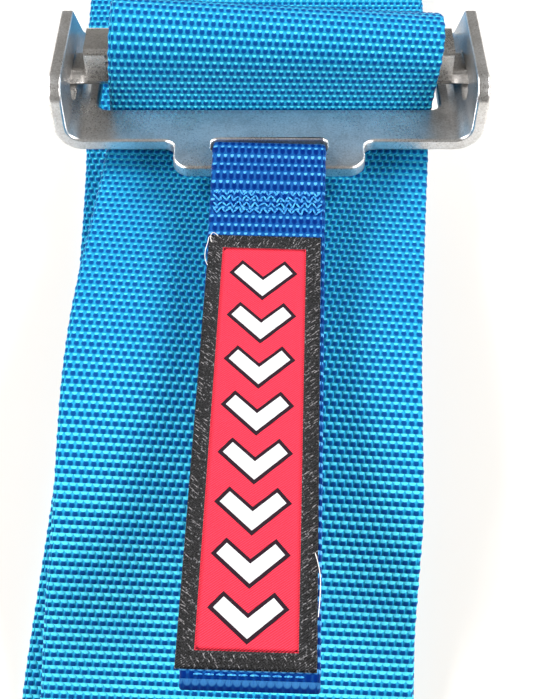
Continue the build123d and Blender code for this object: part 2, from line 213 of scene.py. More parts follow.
def webbing_material(name, deep, body, bright, cell, pick, depth, facing=1.0, painted_shade_from=None):
    """Plain-woven webbing: a deep spot on each bump in a lighter net, brightest at one end.

    The deep spot, set on each bump's near half, is painted shade, and the bright end is a painted
    highlight.
    facing is the end of a bump, by the way V runs, that carries the painted glint. The painted glints
    spread into whole bright rows where the belt lies flat, towards its near end, and the painted shade
    moves further to the near side there. The last argument gives the Y beyond which the end is painted
    darker: painted shade on the tab's end.
    """
    n = Nodes(name)
    u, v = n.uv()
    side, end, height = woven_cells(n, u, v, cell, pick)
    end = n.math("MULTIPLY", end, facing)
    side_square = n.math("MULTIPLY", side, side)
    fibre_place = n.join(n.math("MULTIPLY", u, 6.0), n.math("MULTIPLY", v, 0.8))
    fibres = n.noise(fibre_place, 1.0, 3.0, 0.7)
    patches = n.noise(n.join(u, v), 0.07, 2.0, 0.6)
    worn = n.noise(n.join(u, v), 0.5, 3.0, 0.6)
    # nearness: towards the belt's near end, where it lies flat, the painted shade moves further to each
    # bump's near side and the painted glints spread into rows
    nearness = n.remap(n.place_y(), -0.03, -0.11)
    middle = n.math("MULTIPLY_ADD", nearness, 0.3, 0.12)
    # the deep spot on each bump's near half is painted shade
    low = n.math("ADD", end, middle)
    spot = n.math("MULTIPLY_ADD", side_square, 0.95, n.math("MULTIPLY", low, low))
    uneven = n.math("MULTIPLY_ADD", fibres, 0.5, n.math("SUBTRACT", spot, 0.25))
    base = n.mix(n.remap(uneven, 0.2, 0.85), deep, body)
    # painted highlight: a bright glint at each bump's far end, mixed into the base colour
    rest = n.math("SUBTRACT", 1.0, end)
    spread = n.math("MULTIPLY_ADD", nearness, -0.95, 1.5)
    away = n.math("MULTIPLY_ADD", side_square, spread, n.math("MULTIPLY", rest, rest))
    reach = n.math("MULTIPLY_ADD", nearness, 0.34, 0.58)
    glint = n.remap(n.math("SUBTRACT", reach, away), 0.0, 0.42)
    glint = n.math("MULTIPLY", glint, n.remap(fibres, 0.22, 0.55, 0.25, 1.0))
    base = n.mix(n.math("MULTIPLY", glint, n.remap(patches, 0.3, 0.7, 1.0, 0.7)), base, bright)
    # painted shade: the tab's end is darker beyond this Y
    if painted_shade_from is not None:
        base = n.mix(n.remap(n.place_y(), painted_shade_from, painted_shade_from - 0.0006, 0.0, 0.7), base, deep)
    n.set(Base_Color=base)
    n.set(Roughness=n.remap(worn, 0.3, 0.75, 0.4, 0.55))
    n.set(Specular_IOR_Level=0.15, Specular_Tint=bright)
    relief = n.math("ADD", height, n.math("MULTIPLY", fibres, 0.2))
    n.bump(relief, depth)
    return n.material


def twill_material(name, dark, light, rough, scale=1.5, flecks=0.0):
    """A fine diagonal twill for the label's woven ground, with paler flecks, painted glints, if asked
    for.
    """
    n = Nodes(name)
    u, v = n.uv()
    slant = n.math("ADD", n.math("MULTIPLY", u, scale), n.math("MULTIPLY", v, scale * 1.35))
    ridge = n.math("ABSOLUTE", n.math("SUBTRACT", n.math("FRACT", slant), 0.5))
    grain = n.noise(n.join(n.math("MULTIPLY", u, 3.0), n.math("MULTIPLY", v, 3.0)), 1.3, 3.0, 0.7)
    shade = n.math("ADD", n.math("MULTIPLY", ridge, 1.1), n.math("MULTIPLY", grain, 0.55))
    base = n.mix(n.remap(shade, 0.25, 0.85), dark, light)
    # flecks: pale specks in the base colour, painted glints on the twill
    if flecks:
        spots = n.noise(n.join(n.math("MULTIPLY", u, 2.6), n.math("MULTIPLY", v, 1.8)), 1.0, 2.0, 0.6)
        base = n.mix(n.remap(spots, 0.56, 0.68, 0.0, flecks), base, (0.32, 0.32, 0.34, 1))
    n.set(Base_Color=base)
    n.set(Roughness=n.remap(grain, 0.3, 0.7, rough - 0.06, rough + 0.08))
    n.set(Specular_IOR_Level=0.15)
    n.bump(n.math("ADD", ridge, n.math("MULTIPLY", grain, 0.6)), 0.16)
    return n.material


def thread_material(name, dark, light, rough=0.45):
    """Sewing thread, finely mottled."""
    n = Nodes(name)
    place = n.place()
    grain = n.noise(place, 2600.0, 2.0, 0.6)
    n.set(Base_Color=n.mix(n.remap(grain, 0.35, 0.7), dark, light), Roughness=rough)
    n.set(Specular_IOR_Level=0.25)
    n.bump(grain, 0.05)
    return n.material


def steel_material(name, color, dark, rough, speckle):
    """Bright plated sheet steel: satin, finely speckled, with faint wear."""
    n = Nodes(name)
    place = n.place()
    fine = n.noise(place, 2300.0, 3.0, 0.75)
    broad = n.noise(place, 140.0, 4.0, 0.6)
    stains = n.noise(place, 38.0, 3.0, 0.55)
    tone = n.math("ADD", n.math("MULTIPLY", fine, 0.6), n.math("MULTIPLY", broad, 0.4))
    base = n.mix(n.remap(tone, 0.38, 0.62), dark, color)
    n.set(Base_Color=base, Metallic=0.92)
    haze = n.math("ADD", n.remap(stains, 0.35, 0.65, -0.02, 0.03), n.remap(fine, 0.3, 0.7, 0.0, 0.06))
    n.set(Roughness=n.math("ADD", haze, rough))
    n.bump(n.math("ADD", fine, n.math("MULTIPLY", broad, 0.8)), speckle)
    return n.material


WEB_CELL = WEB_WIDTH / WEB_CELLS
TAB_CELL = TAB_WIDTH / TAB_CELLS
web_blue = webbing_material(
    "web_blue",
    deep=(0.002, 0.045, 0.2, 1),
    body=(0.014, 0.29, 0.54, 1),
    bright=(0.1, 0.7, 0.9, 1),
    cell=WEB_CELL,
    pick=WEB_PICK,
    depth=0.42,
)
tab_blue = webbing_material(
    "tab_blue",
    deep=(0.0, 0.012, 0.12, 1),
    body=(0.006, 0.075, 0.28, 1),
    bright=(0.1, 0.42, 0.8, 1),
    cell=TAB_CELL,
    pick=TAB_PICK,
    depth=0.34,
    facing=-1.0,
    # painted shade on the tab's end beyond this Y
    painted_shade_from=-0.1243,
)
steel = steel_material("plated_steel", (0.75, 0.75, 0.75, 1), (0.52, 0.51, 0.5, 1), 0.27, 0.014)
# a darker, warmer copy of the plated steel: painted shade for the bar's dark faces between the flanges
bar_steel = steel_material("bar_steel", (0.68, 0.66, 0.64, 1), (0.46, 0.44, 0.42, 1), 0.26, 0.01)
# the pale flecks on the label's black ground are painted glints
label_black = twill_material(
    "label_black", (0.002, 0.002, 0.002, 1), (0.03, 0.03, 0.033, 1), 0.6, flecks=0.6
)
label_red = twill_material("label_red", (0.5, 0.008, 0.025, 1), (0.9, 0.045, 0.085, 1), 0.6)
label_white = twill_material("label_white", (0.6, 0.61, 0.64, 1), (0.8, 0.8, 0.82, 1), 0.6, 3.0)
label_dark = twill_material("label_dark", (0.006, 0.002, 0.006, 1), (0.03, 0.01, 0.02, 1), 0.6, 3.0)
thread_black = thread_material("thread_black", (0.002, 0.002, 0.002, 1), (0.02, 0.02, 0.022, 1), 0.5)
thread_grey = thread_material("thread_grey", (0.015, 0.015, 0.018, 1), (0.3, 0.29, 0.3, 1), 0.5)
thread_blue = thread_material("thread_blue", (0.0, 0.05, 0.3, 1), (0.03, 0.3, 0.75, 1))
thread_tack = thread_material("thread_tack", (0.0, 0.1, 0.4, 1), (0.08, 0.5, 0.85, 1))
thread_pale = thread_material("thread_pale", (0.6, 0.58, 0.55, 1), (0.9, 0.88, 0.86, 1))


# ======================= meshes =======================
def make_object(name, vertices, faces, material, uvs=None, smooth=True):
    """A mesh object from points in millimetres; uvs gives one (u, v) for each point."""
    mesh = bpy.data.meshes.new(name)
    mesh.from_pydata([tuple(Vector(p) * MM) for p in vertices], [], faces)
    if uvs is not None:
        layer = mesh.uv_layers.new(name="weave")
        loops = np.zeros(len(mesh.loops), np.int32)
        mesh.loops.foreach_get("vertex_index", loops)
        layer.data.foreach_set("uv", np.asarray(uvs, np.float32)[loops].ravel())
    mesh.polygons.foreach_set("use_smooth", [smooth] * len(mesh.polygons))
    mesh.materials.append(material)
    piece = bpy.data.objects.new(name, mesh)
    bpy.context.scene.collection.objects.link(piece)
    return piece


def smooth_rows(rows, closed=False):
    """Rows of numbers at close spacing on a centripetal Catmull-Rom curve through rows.

    Gives the fine rows, and for each given row its place among them.
    """
    rows = np.asarray(rows, float)
    if closed:
        rows = np.vstack([rows[-1], rows, rows[0], rows[1]])
    else:
        rows = np.vstack([2 * rows[0] - rows[1], rows, 2 * rows[-1] - rows[-2]])
    fine, marks = [], []
    for a, b, c, d in zip(rows, rows[1:], rows[2:], rows[3:]):
        knots = [0.0]
        for p, q in ((a, b), (b, c), (c, d)):
            knots.append(knots[-1] + max(np.linalg.norm(q - p), 1e-6) ** 0.5)
        t0, t1, t2, t3 = knots
        count = max(2, int(np.linalg.norm(c - b) / CURVE_STEP))
        t = np.linspace(t1, t2, count, endpoint=False)[:, None]
        first = (t1 - t) / (t1 - t0) * a + (t - t0) / (t1 - t0) * b
        second = (t2 - t) / (t2 - t1) * b + (t - t1) / (t2 - t1) * c
        third = (t3 - t) / (t3 - t2) * c + (t - t2) / (t3 - t2) * d
        near = (t2 - t) / (t2 - t0) * first + (t - t0) / (t2 - t0) * second
        far = (t3 - t) / (t3 - t1) * second + (t - t1) / (t3 - t1) * third
        marks.append(sum(len(f) for f in fine))
        fine.append((t2 - t) / (t2 - t1) * near + (t - t1) / (t2 - t1) * far)
    fine = np.vstack(fine)
    marks.append(len(fine))
    fine = np.vstack([fine, rows[-2]])
    return fine, marks


def edges(points, width):
    """Left and right edge points of a strap, from (x, y, z, yaw in degrees) of its middle."""
    rows = []
    for x, y, z, yaw in points:
        turn = math.radians(yaw)
        side = Vector((math.cos(turn), -math.sin(turn), 0)) * width / 2
        middle = Vector((x, y, z))
        rows.append([*(middle - side), *(middle + side)])
    return rows


def ribbon_steps(total, half, first, last, fine, closed):
    """Lengths of a ribbon's rows, and each row's number in the weave, or None off the fine part."""
    first, last = math.ceil(first / half), math.floor(last / half)
    steps = [i * half for i in range(first, last + 1)]
    flags = list(range(first, last + 1))
    if closed:
        return steps[:-1], flags[:-1]
    if fine:
        start, end = first * half, last * half
        before = np.linspace(0, start, max(2, int(start / COARSE)), endpoint=False)
        after = np.linspace(end, total, max(2, int((total - end) / COARSE) + 1))[1:]
        steps = list(before) + steps + list(after)
        flags = [None] * len(before) + flags + [None] * len(after)
    return steps, flags


def weave_relief(row, columns, bump):
    """Heights of a row's points over and under the plain weave, and how far its selvedge stands out."""
    if row is None:
        return np.zeros(columns + 1), 0.0
    parity = (row // 2) % 2
    peaks = (np.arange(columns + 1) % 2) != parity
    relief = np.where(peaks, bump, -bump) if row % 2 else np.full(columns + 1, -bump * 0.5)
    ruffle = bump * (0.9 if (row % 2 and parity) else -0.3)
    return relief, ruffle


def tube_faces(count, ring, closed):
    """Faces between count rings of ring points, with a cap at each end unless they close."""
    faces = []
    for i in range(count if closed else count - 1):
        a, b = i * ring, ((i + 1) % count) * ring
        for j in range(ring):
            k = (j + 1) % ring
            faces.append((a + j, a + k, b + k, b + j))
    if not closed:
        end = (count - 1) * ring
        faces.append(tuple(j for j in reversed(range(ring))))
        faces.append(tuple(end + j for j in range(ring)))
    return faces


def row_directions(left, right, closed):
    """The width, side and upward direction of each row."""
    centre = (left + right) / 2
    if closed:
        tangent = np.roll(centre, -1, axis=0) - np.roll(centre, 1, axis=0)
    else:
        tangent = np.gradient(centre, axis=0)
    across = right - left
    width = np.linalg.norm(across, axis=1)[:, None]
    across = across / width
    normal = np.cross(across, tangent)
    normal /= np.linalg.norm(normal, axis=1)[:, None]
    return width, across, normal


def ribbon(name, rows, thick, cells, pick, material, fine=None, closed=False, bump=BUMP):
    """A woven strap between two edge lines, with a rounded selvedge at each side.

    rows holds the left and right edge points. fine gives the first and last row between
    which the woven bumps are modelled; elsewhere the strap has longer steps.
    """
    line, marks = smooth_rows(rows, closed)
    middle = (line[:, :3] + line[:, 3:]) / 2
    lengths = np.concatenate([[0], np.cumsum(np.linalg.norm(np.diff(middle, axis=0), axis=1))])
    half = pick / 2
    total = lengths[-1]
    if closed:
        half = total / (2 * round(total / (2 * half)))
    first, last = (0.0, total) if fine is None else (lengths[marks[fine[0]]], lengths[marks[fine[1]]])
    steps, flags = ribbon_steps(total, half, first, last, fine is not None, closed)
    at = np.stack([np.interp(steps, lengths, line[:, i]) for i in range(6)], axis=1)
    left = at[:, :3]
    width, across, normal = row_directions(left, at[:, 3:], closed)
    columns = 2 * cells
    radius = thick / 2
    vertices, uvs = [], []
    share = np.arange(columns + 1) / columns
    arc = [math.radians(a) for a in (60, 30, 0, -30, -60)]
    flat = width[0, 0]
    for i, step in enumerate(steps):
        place, side, up = left[i], across[i], normal[i]
        span = width[i, 0] - 2 * radius
        relief, ruffle = weave_relief(flags[i], columns, bump)
        top = place + side * (radius + share * span)[:, None] + up * (radius + relief)[:, None]
        under = place + side * (radius + share * span)[:, None] - up * (radius + relief)[:, None]
        edge = radius + ruffle
        right_edge = [
            place + side * (radius + span + edge * math.cos(a)) + up * radius * math.sin(a) for a in arc
        ]
        left_edge = [
            place + side * (radius - edge * math.cos(a)) - up * radius * math.sin(a) for a in arc
        ]
        vertices.extend([*top, *right_edge, *under[::-1], *left_edge])
        around = [flat + radius * (90 - math.degrees(a)) / 90 for a in arc]
        uvs.extend([(s * flat, step) for s in share])
        uvs.extend([(a, step) for a in around])
        uvs.extend([(s * flat, step + pick) for s in share[::-1]])
        uvs.extend([(flat - a, step) for a in around])
    ring = 2 * (columns + 1) + 2 * len(arc)
    faces = tube_faces(len(steps), ring, closed)
    return make_object(name, vertices, faces, material, uvs)


def stitches(name, runs, thread, material, rise=0.5):
    """Sewn stitches, one small bowed tube for each (start, end, up) of runs."""
    vertices, faces = [], []
    sides, parts = 6, 6
    for start, end, up in runs:
        start, end, up = Vector(start), Vector(end), Vector(up).normalized()
        along = end - start
        side = along.normalized().cross(up)
        base = len(vertices)
        for i in range(parts + 1):
            t = i / parts
            bow = math.sin(math.pi * t)
            radius = thread / 2 * (0.45 + 0.55 * bow ** 0.5)
            middle = start + along * t + up * (rise * bow * thread - thread * 0.25)
            for j in range(sides):
                angle = 2 * math.pi * j / sides
                vertices.append(middle + (side * math.cos(angle) + up * math.sin(angle)) * radius)
        for i in range(parts):
            for j in range(sides):
                a, b = base + i * sides + j, base + i * sides + (j + 1) % sides
                faces.append((a, b, b + sides, a + sides))
        faces.append(tuple(base + j for j in reversed(range(sides))))
        faces.append(tuple(base + parts * sides + j for j in range(sides)))
    return make_object(name, vertices, faces, material)


def stitch_line(start, end, up, pitch, wobble=0.0):
    """Runs for stitches() along a straight seam."""
    start, end = Vector(start), Vector(end)
    count = max(1, round((end - start).length / pitch))
    step = (end - start) / count
    side = step.normalized().cross(Vector(up).normalized())
    share = 0.8  # of the pitch that a stitch covers
    runs = []
    for i in range(count):
        a = start + step * i + side * rng.uniform(-wobble, wobble)
        b = start + step * (i + share) + side * rng.uniform(-wobble, wobble)
        runs.append((a, b, up))
    return runs


# ======================= the long web =======================
def edge_row(left, right):
    """One row for ribbon(), from a left and a right edge point."""
    return [*left, *right]


WEB_X = SLOT.x + 0.4  # middle of the web in the slot
HALF = WEB_WIDTH / 2
LAYER = WEB_THICK + LAY_GAP
UNDER_Z = WEB_THICK / 2
LOAD_Z = UNDER_Z + LAYER
TAIL_Z = LOAD_Z + LAYER
HEM = 22.0  # length of the turned-over end
HEM_YAW = 3.6  # degrees
TAIL_END = box_low("tail_hem").y + 2.0
TAIL_END_X = -13.5

# the middle of each run as (x, y, z, yaw in degrees)
tail_path = [
    (-12.6, TAIL_END + HEM, TAIL_Z + WEB_THICK + 0.1, HEM_YAW),
    (-13.2, TAIL_END + 6, TAIL_Z + WEB_THICK + 0.1, HEM_YAW),
    (TAIL_END_X, TAIL_END + 1.4, TAIL_Z + WEB_THICK, HEM_YAW),
    (-13.55, TAIL_END + 0.3, TAIL_Z + WEB_THICK / 2, HEM_YAW),
    (TAIL_END_X, TAIL_END + 1.4, TAIL_Z, HEM_YAW),
    (-13.2, TAIL_END + 6, TAIL_Z - 0.1, HEM_YAW),
    (-12.0, TAIL_END + 26, TAIL_Z, 3.4),
    (-9.2, -150, TAIL_Z + 0.3, 3.0),
    (-8.2, -139, 5.9, 2.6),
    (-7.3, -127.4, 8.3, 2.4),
    (-6.7, -114.1, 12.9, 2.4),
    (-5.8, -102.6, 17.1, 2.6),
    (-4.9, -91, 21.2, 2.8),
    (-4.6, -78.8, 23.3, 3.0),
    (-4.3, -66.2, 24.2, 3.4),
    (-3.6, -52.2, 23.2, 3.6),
    (-2.2, -36.9, 20.6, 3.6),
    (-0.4, -19.2, 16.6, 3.2),
    (0.8, -7.5, 14.8, 2.0),
    (1.5, -0.5, 14.6, 0.8),
]
load_path = [
    (2.0, 17.6, 7.4, 0.5),
    (2.0, 12.6, 4.6, 1.2),
    (1.8, 6.0, 3.0, 2.2),
    (1.2, -4.0, LOAD_Z, 3.2),
    (-4.0, -90, LOAD_Z, 3.6),
    (-9.6, -180, LOAD_Z, 3.6),
    (-10.6, -197, 3.1, 3.6),
    (-11.6, -213, 5.6, 3.6),
    (-12.6, -226, 8.0, 3.6),
    (-13.2, -236, 8.5, 3.6),
    (-13.5, -239.4, 7.4, 3.6),
    (-13.6, -240.5, 4.6, 3.6),
    (-13.5, -239.4, 1.8, 3.6),
    (-13.3, -236, UNDER_Z, 3.0),
    (-13.2, -231.5, UNDER_Z, 2.2),
]
# the loose roll over the bar, as (along, above) the plate at the web's two edges: it
# stands higher and further back at its left one; lean is its shift towards +X
roll_left = [
    (-2.4, -4.0), (0.3, -3.8), (1.1, -2.1), (1.1, 3.0), (0.9, 9.0), (1.8, 15.5),
    (5.8, 20.6), (11.5, 21.6), (16.2, 17.5), (17.4, 11.0), (16.6, 4.0), (16.2, -1.5), (15.9, -4.6),
]
roll_right = [
    (-2.4, -4.0), (0.3, -3.8), (1.1, -2.1), (1.1, 2.4), (1.1, 7.6), (1.8, 12.6),
    (4.9, 16.6), (9.4, 17.8), (14.2, 15.5), (16.3, 10.2), (16.3, 4.0), (16.2, -1.5), (15.9, -4.6),
]
lean = [0.0, 0.0, 0.0, 0.2, 0.6, 1.1, 1.6, 1.7, 1.6, 1.2, 0.8, 0.4, 0.0]


def build_long_web():
    """The web from its turned-over end, over the adjuster's bar and back under itself."""
    rows = edges(tail_path, WEB_WIDTH)
    for (near, up), (far, high), shift in zip(roll_left, roll_right, lean):
        middle = WEB_X + shift
        rows.append(
            edge_row(on_plate(middle - HALF, near, up), on_plate(middle + HALF, far, high))
        )
    visible = len(rows) - 2
    rows += edges(load_path, WEB_WIDTH)
    web = ribbon(
        "long_web", rows, WEB_THICK, WEB_CELLS, WEB_PICK, web_blue, fine=(5, visible)
    )
    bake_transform(web)
    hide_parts("bar_wrap_web", "tail_web", "tail_hem", "load_web")


def build_hem_stitching():
    """Two rows of stitches across the turned-over end of the tail."""
    runs = []
    margin = 4.0  # from a row to the hem's edge
    top = TAIL_Z + 1.5 * WEB_THICK + 0.1 + BUMP
    yaw = math.radians(HEM_YAW)
    side = Vector((math.cos(yaw), -math.sin(yaw), 0)) * (HALF - 3)
    for offset in (margin, HEM - margin):
        middle = Vector((TAIL_END_X + offset * math.tan(yaw), TAIL_END + offset, top))
        runs += stitch_line(middle - side, middle + side, (0, 0, 1), 3.2, wobble=0.15)
    seam = stitches("tail_hem_stitching_thread", runs, SEAM_THREAD, thread_blue)
    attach(seam, "webbing")
    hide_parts("tail_hem_stitching")


UNDER_YAW = 1.6  # degrees
ANCHOR_RETURN = 32.0  # sewn-back length at the bracket
ANCHOR_SEAM = 14.0  # length of the sewn box


def under_x(y):
    """The middle of the lowest run beyond the adjuster, where it lies straight."""
    return BRACKET_RING.x + (y - BRACKET_RING.y) * math.tan(math.radians(UNDER_YAW))


def build_under_web():
    """The lowest run, from the near fold to its sewn loop through the bracket."""
    ring = LOOP_INNER + WEB_THICK / 2
    y, z = BRACKET_RING.y, BRACKET_RING.z
    join = y - ANCHOR_RETURN
    upper = UNDER_Z + WEB_THICK + PLY_GAP
    path = [
        (-13.2, -231.0, UNDER_Z, 1.2),
        (-13.9, -160, UNDER_Z, 2.0),
        (-12.5, -127, UNDER_Z, 3.0),
        (-9.4, -90, UNDER_Z, 3.2),
        (-6.8, -52, UNDER_Z, 2.4),
        (-5.9, -4, UNDER_Z, 0.6),
        (-7.4, 45, UNDER_Z, 0.8),
        (under_x(100), 100, UNDER_Z, UNDER_YAW),
        (under_x(join), join, UNDER_Z, UNDER_YAW),
        (under_x(y - 16), y - 16, UNDER_Z, UNDER_YAW),
        (under_x(y - 3), y - 3, UNDER_Z + 0.05, UNDER_YAW),
    ]
    for angle in (-90, -45, 0, 45, 90, 130):
        turn = math.radians(angle)
        ring_y = y + ring * math.cos(turn)
        path.append((under_x(ring_y), ring_y, z + ring * math.sin(turn), UNDER_YAW))
    path += [
        (under_x(y - 9.2), y - 9.2, upper + 1.6, UNDER_YAW),
        (under_x(y - 14), y - 14, upper + 0.1, UNDER_YAW),
        (under_x(y - 20), y - 20, upper, UNDER_YAW),
        (under_x(join), join, upper, UNDER_YAW),
    ]
    web = ribbon(
        "under_web_strap",
        edges(path, WEB_WIDTH),
        WEB_THICK,
        WEB_CELLS,
        WEB_PICK,
        web_blue,
        fine=(1, len(path) - 1),
    )
    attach(web, "webbing")
    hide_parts("under_web")
    seam_y = y - 23
    seam_top = upper + WEB_THICK / 2 + BUMP
    runs = box_and_w(under_x(seam_y), seam_y, seam_top, ANCHOR_SEAM, SEAM_WIDTH, UNDER_YAW)
    seam = stitches("anchor_seam_thread", runs, SEAM_THREAD, thread_blue)
    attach(seam, "webbing")
    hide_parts("anchor_stitching")


def box_and_w(x, y, z, length, width, yaw):
    """Stitch runs of a sewn box with a W inside, flat on a web."""
    turn = math.radians(yaw)
    along = Vector((math.sin(turn), math.cos(turn), 0))
    side = Vector((math.cos(turn), -math.sin(turn), 0))
    middle = Vector((x, y, z))

    def at(run, across):
        return middle + along * run + side * across

    a, b = length / 2, width / 2
    corners = [at(-a, -b), at(a, -b), at(a, b), at(-a, b), at(-a, -b)]
    zigzag = [at(-a, -b), at(a, -b / 2), at(-a, 0), at(a, b / 2), at(-a, b)]
    runs = []
    for line in (corners, zigzag):
        for start, end in zip(line, line[1:]):
            runs += stitch_line(start, end, (0, 0, 1), 2.8, wobble=0.1)
    return runs


SHORT_SEAM = 20.0  # length of the sewn box


def build_short_web():
    """The short sewn loop that ties the adjuster to the latch tongue."""
    ring = LOOP_INNER + WEB_THICK / 2
    x = FAR_BAR.x
    low = LOAD_Z
    high = low + WEB_THICK + PLY_GAP
    middle = (FAR_BAR.y + TONGUE_RING.y) / 2
    path = []
    for y in (middle, TONGUE_RING.y - 16, TONGUE_RING.y - 3):
        path.append((x, y, low, 0))
    for angle in (-60, 0, 60, 105, 135):
        turn = math.radians(angle)
        path.append(
            (x, TONGUE_RING.y + ring * math.cos(turn), TONGUE_RING.z + ring * math.sin(turn), 0)
        )
    path += [(x, TONGUE_RING.y - 9.4, high + 1.5, 0), (x, TONGUE_RING.y - 14.5, high + 0.1, 0)]
    path += [(x, middle + 6, high, 0), (x, middle - 6, high, 0)]
    path += [(x, FAR_BAR.y + 14.5, high + 0.1, 0), (x, FAR_BAR.y + 9.4, high + 1.5, 0)]
    for angle in (45, 75, 120, 180, 240):
        turn = math.radians(angle)
        path.append((x, FAR_BAR.y + ring * math.cos(turn), FAR_BAR.z + ring * math.sin(turn), 0))
    path += [(x, FAR_BAR.y + 3, low + 0.15, 0), (x, FAR_BAR.y + 16, low, 0)]
    web = ribbon(
        "short_web_strap",
        edges(path, WEB_WIDTH),
        WEB_THICK,
        WEB_CELLS,
        WEB_PICK,
        web_blue,
        closed=True,
    )
    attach(web, "webbing")
    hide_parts("short_web")
    runs = box_and_w(x, middle, high + WEB_THICK / 2 + BUMP, SHORT_SEAM, SEAM_WIDTH, 0)
    seam = stitches("short_web_seam_thread", runs, SEAM_THREAD, thread_blue)
    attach(seam, "webbing")
    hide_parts("short_web_stitching")


# ======================= pull tab and its label =======================
TAB_RISE = math.radians(7)
TAB_YAW = math.radians(1.8)
TAB_RUN = Vector(
    (
        -math.sin(TAB_YAW) * math.cos(TAB_RISE),
        -math.cos(TAB_YAW) * math.cos(TAB_RISE),
        math.sin(TAB_RISE),
    )
)
TAB_UP = Vector((0, math.sin(TAB_RISE), math.cos(TAB_RISE)))
TAB_SIDE = TAB_UP.cross(TAB_RUN).normalized()  # towards +X
if TAB_SIDE.x < 0:
    TAB_SIDE = -TAB_SIDE
TAB_LENGTH = 116.6  # from the middle of its loop to its end
TAB_LIFT = 1.6
TAB_RING_INNER = 3.4
LABEL_START = 21.4
LABEL_LENGTH = 92.0
LABEL_WIDTH = 25.0
LABEL_THICK = 0.6
LABEL_STEP = 0.8  # size of the label's mesh squares
BORDER = 3.3
LABEL_SKEW = math.radians(0.35)
CHEVRON_PITCH = 10.2
CHEVRON_COUNT = 8
CHEVRON_WIDTH = 10.4
CHEVRON_RISE = 4.6


def on_tab(run, side, up):
    """A point by its run along the tab from its loop, to the side and above its middle."""
    return TAB_RING + TAB_RUN * run + TAB_SIDE * side + TAB_UP * up


def build_tab():
    """The pull tab, a loop of narrow web sewn flat, as (run, up) round its length."""
    ring = TAB_RING_INNER + TAB_THICK / 2
    over = TAB_LIFT + TAB_THICK / 2
    below = TAB_LIFT - TAB_THICK / 2
    end = TAB_LENGTH - TAB_THICK / 2 - 0.05
    path = [(60, below), (35, below), (16, below), (10, below - 0.5), (5.4, -1.6)]
    for angle in (-55, -90, -135, -180, -225, -270, -300):
        turn = math.radians(angle)
        path.append((ring * math.cos(turn), ring * math.sin(turn)))
    path += [(6.4, 3.5), (10.5, over + 0.1), (16, over), (35, over), (60, over), (90, over)]
    path += [(end - 4, over), (end, over - 0.1), (end + 0.55, TAB_LIFT), (end, below + 0.1)]
    path += [(end - 4, below), (90, below)]
    rows = []
    for run, up in path:
        left, right = (on_tab(run, side * TAB_WIDTH / 2, up) for side in (1, -1))
        rows.append(edge_row(left, right))
    tab = ribbon(
        "pull_tab_strap", rows, TAB_THICK - 0.02, TAB_CELLS, TAB_PICK, tab_blue, closed=True, bump=0.11
    )
    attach(tab, "tab")
    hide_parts("pull_tab")


TAB_TOP = TAB_LIFT + TAB_THICK
TACK_THREAD = 0.4


def build_bartack():
    """Four rows of uneven zigzag stitches right across the tab, behind its loop."""
    runs = []
    up = tuple(TAB_UP)
    first_row, row_pitch = 9.9, 1.6
    count, reach = 26, 11.8
    for row in range(4):
        middle = first_row + row * row_pitch
        corners = []
        for i in range(count + 1):
            swing = rng.uniform(0.35, 1.0) * (1 if i % 2 else -1)
            side = reach * (2 * i / count - 1) + rng.uniform(-0.3, 0.3)
            corners.append(on_tab(middle + swing, side, TAB_TOP + 0.15))
        runs += [(start, end, up) for start, end in zip(corners, corners[1:])]
    tack = stitches("tab_bartack_thread", runs, TACK_THREAD, thread_tack, rise=0.35)
    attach(tack, "tab")
    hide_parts("tab_bartack")


def label_point(run, side, up):
    """A point on the label, by its run from the label's start, in the label's own skew."""
    shift = -0.25 - run * math.tan(LABEL_SKEW)
    spread = 0.965 + 0.06 * run / LABEL_LENGTH
    return on_tab(LABEL_START + run, side * spread + shift, TAB_TOP + up)


def label_slab(name, start, end, width, low, high, material):
    """A thin woven patch on the tab, slightly smaller at its top."""
    across = max(4, int(width / LABEL_STEP))
    along = max(4, int((end - start) / LABEL_STEP))
    vertices, uvs, faces = [], [], []

    def add_layer(up, inset):
        base = len(vertices)
        for i in range(along + 1):
            run = start + inset + (end - start - 2 * inset) * i / along
            for j in range(across + 1):
                side = (-width / 2 + inset) + (width - 2 * inset) * j / across
                vertices.append(label_point(run, side, up))
                uvs.append((side + width, run))
        return base

    outline = [(0, j) for j in range(across)] + [(i, across) for i in range(along)]
    outline += [(along, across - j) for j in range(across)] + [(along - i, 0) for i in range(along)]
    levels = [(low, 0.0), (low + (high - low) * 0.6, 0.0), (high, 0.18)]
    bases = [add_layer(up, inset) for up, inset in levels]
    row = across + 1
    for a, b in zip(bases, bases[1:]):
        for (i, j), (k, m) in zip(outline, outline[1:] + outline[:1]):
            faces.append((a + k * row + m, a + i * row + j, b + i * row + j, b + k * row + m))
    top, bottom = bases[-1], bases[0]
    for i in range(along):
        for j in range(across):
            quad = (i * row + j, i * row + j + 1, (i + 1) * row + j + 1, (i + 1) * row + j)
            faces.append(tuple(top + q for q in quad))
            faces.append(tuple(bottom + q for q in reversed(quad)))
    used = sorted({v for face in faces for v in face})
    renumber = {v: i for i, v in enumerate(used)}
    vertices = [vertices[v] for v in used]
    uvs = [uvs[v] for v in used]
    faces = [tuple(renumber[v] for v in face) for face in faces]
    return make_object(name, vertices, faces, material, uvs)


def chevron_outline(run, width, rise, stroke, cap):
    """Corners of a V stroke that points down the label, as (run, side)."""
    arm = Vector((rise, width / 2)).normalized()
    tip = stroke / arm.y
    outer, inner = (
        (arm.y * s - arm.x * cap, width / 2 + arm.y * cap + arm.x * s) for s in (stroke, -stroke)
    )
    half = [(rise + tip, 0.0), outer, inner, (rise - tip, 0.0)]
    corners = half + [(a, -b) for a, b in (inner, outer)]
    return [(run + a, b) for a, b in corners]


